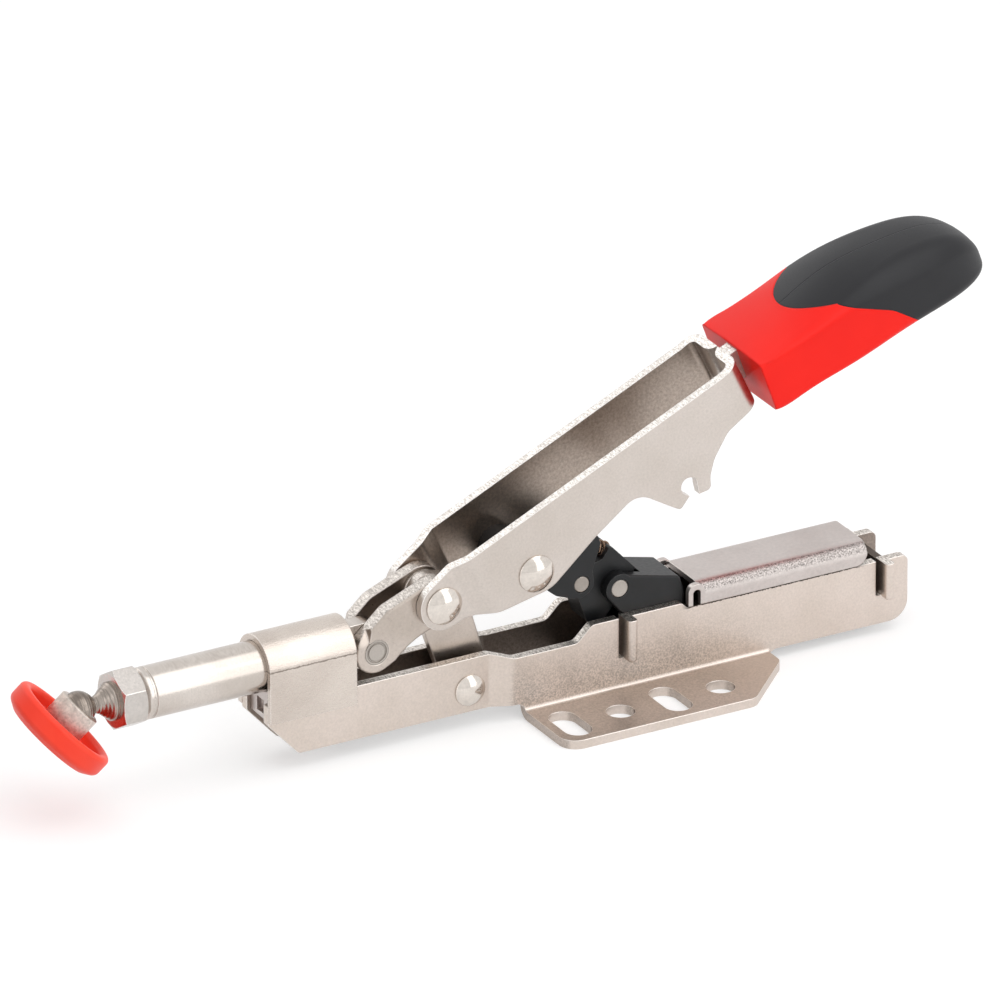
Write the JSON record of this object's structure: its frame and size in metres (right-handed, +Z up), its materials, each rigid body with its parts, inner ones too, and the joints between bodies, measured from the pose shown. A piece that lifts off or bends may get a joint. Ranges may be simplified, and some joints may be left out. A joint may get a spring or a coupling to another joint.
{
  "type": "toggle clamp",
  "caption": "Push-pull toggle clamp: a lever handle drives a plunger with a swivelling padded foot; flanged base for bolting down.",
  "frame": {"origin": "centre of the hole pattern on the underside of the two mounting flanges", "axes": "+Z up from the mounting face, -X towards the clamping foot, +X towards the handle, -Y the left side"},
  "size_m": [0.2597, 0.059, 0.1001],
  "materials": {
    "nickel_sheet": "satin nickel plating on pressed sheet",
    "bright_steel": "turned and polished, nickel plated",
    "rivet_steel": "smooth plated",
    "red_plastic": "semi-gloss moulded",
    "red_soft": "soft moulded, satin",
    "black_soft": "soft-touch matte",
    "black_oxide": "blackened, satin",
    "spring_wire": "drawn wire",
    "inner_steel": "plain pressed steel"
  },
  "bodies": {
    "frame": {"body_plate_right": "nickel_sheet", "body_plate_left": "nickel_sheet", "collar": "bright_steel", "guide_block": "inner_steel", "cover": "nickel_sheet", "slide_channel": "inner_steel", "body_rivet": "rivet_steel", "rocker_spacer_right": "inner_steel", "rocker_spacer_left": "inner_steel"},
    "plunger_group": {"plunger": "bright_steel", "ball_spindle": "bright_steel", "lock_nut": "bright_steel"},
    "foot": {"swivel_foot": "bright_steel", "foot_cap": "red_soft"},
    "toggle_links": {"toggle_link_right": "nickel_sheet", "toggle_link_left": "nickel_sheet", "link_pin": "rivet_steel"},
    "rocker_group": {"rocker": "nickel_sheet", "rocker_washer_right": "inner_steel", "rocker_washer_left": "inner_steel", "front_rivet": "rivet_steel"},
    "handle": {"handle_cheek_right": "nickel_sheet", "handle_cheek_left": "nickel_sheet", "rear_rivet": "rivet_steel", "pivot_sleeve_right": "black_oxide", "pivot_sleeve_left": "black_oxide", "grip_core": "red_plastic", "grip_overmould": "black_soft"},
    "thrust_link": {"thrust_lever": "black_oxide", "coil_spring": "spring_wire", "knee_pin": "rivet_steel"},
    "wedge": {"wedge_lever": "black_oxide"},
    "slide_carriage": {"carriage": "black_oxide", "carriage_pin": "rivet_steel"}
  },
  "joints": [
    {"name": "rocker_hinge", "type": "hinge", "parent": "frame", "child": "rocker_group", "pos_m": [-0.0402, 0, 0.01], "axis": [0, -1, 0], "range_deg": [-47, 10.5]},
    {"name": "handle_hinge", "type": "hinge", "parent": "rocker_group", "child": "handle", "pos_m": [-0.0485, 0, 0.0349], "axis": [0, -1, 0], "range_deg": [-20, 96]},
    {"name": "toggle_link_hinge", "type": "hinge", "parent": "rocker_group", "child": "toggle_links", "pos_m": [-0.0485, 0, 0.0349], "axis": [0, -1, 0], "range_deg": [-10.5, 47]},
    {"name": "plunger_slide", "type": "slide", "parent": "frame", "child": "plunger_group", "axis": [1, 0, 0], "range_m": [-0.0046, 0.0208]},
    {"name": "foot_swivel", "type": "hinge", "parent": "plunger_group", "child": "foot", "pos_m": [-0.1424, 0, 0.0264], "axis": [0, 0.9721, 0.2347], "range_deg": [-4, 60]},
    {"name": "carriage_slide", "type": "slide", "parent": "frame", "child": "slide_carriage", "axis": [1, 0, 0], "range_m": [0, 0.002], "stiffness_N_per_m": 3000, "springref_m": -0.004},
    {"name": "wedge_hinge", "type": "hinge", "parent": "slide_carriage", "child": "wedge", "pos_m": [0.0008, 0, 0.027], "axis": [0, -1, 0], "range_deg": [-38, 9]},
    {"name": "knee_hinge", "type": "hinge", "parent": "wedge", "child": "thrust_link", "pos_m": [-0.0096, 0, 0.0305], "axis": [0, -1, 0], "range_deg": [-4, 0], "stiffness_Nm_per_rad": 1, "springref_deg": 2.86, "deforming": ["coil_spring"]}
  ],
  "couplings": [
    {"joint": "rocker_hinge", "follows": "handle_hinge", "ratio": -0.48},
    {"joint": "toggle_link_hinge", "follows": "handle_hinge", "ratio": 0.4824},
    {"joint": "plunger_slide", "follows": "handle_hinge", "m_per_rad": 0.012129},
    {"joint": "wedge_hinge", "follows": "handle_hinge", "ratio": -0.3854}
  ]
}
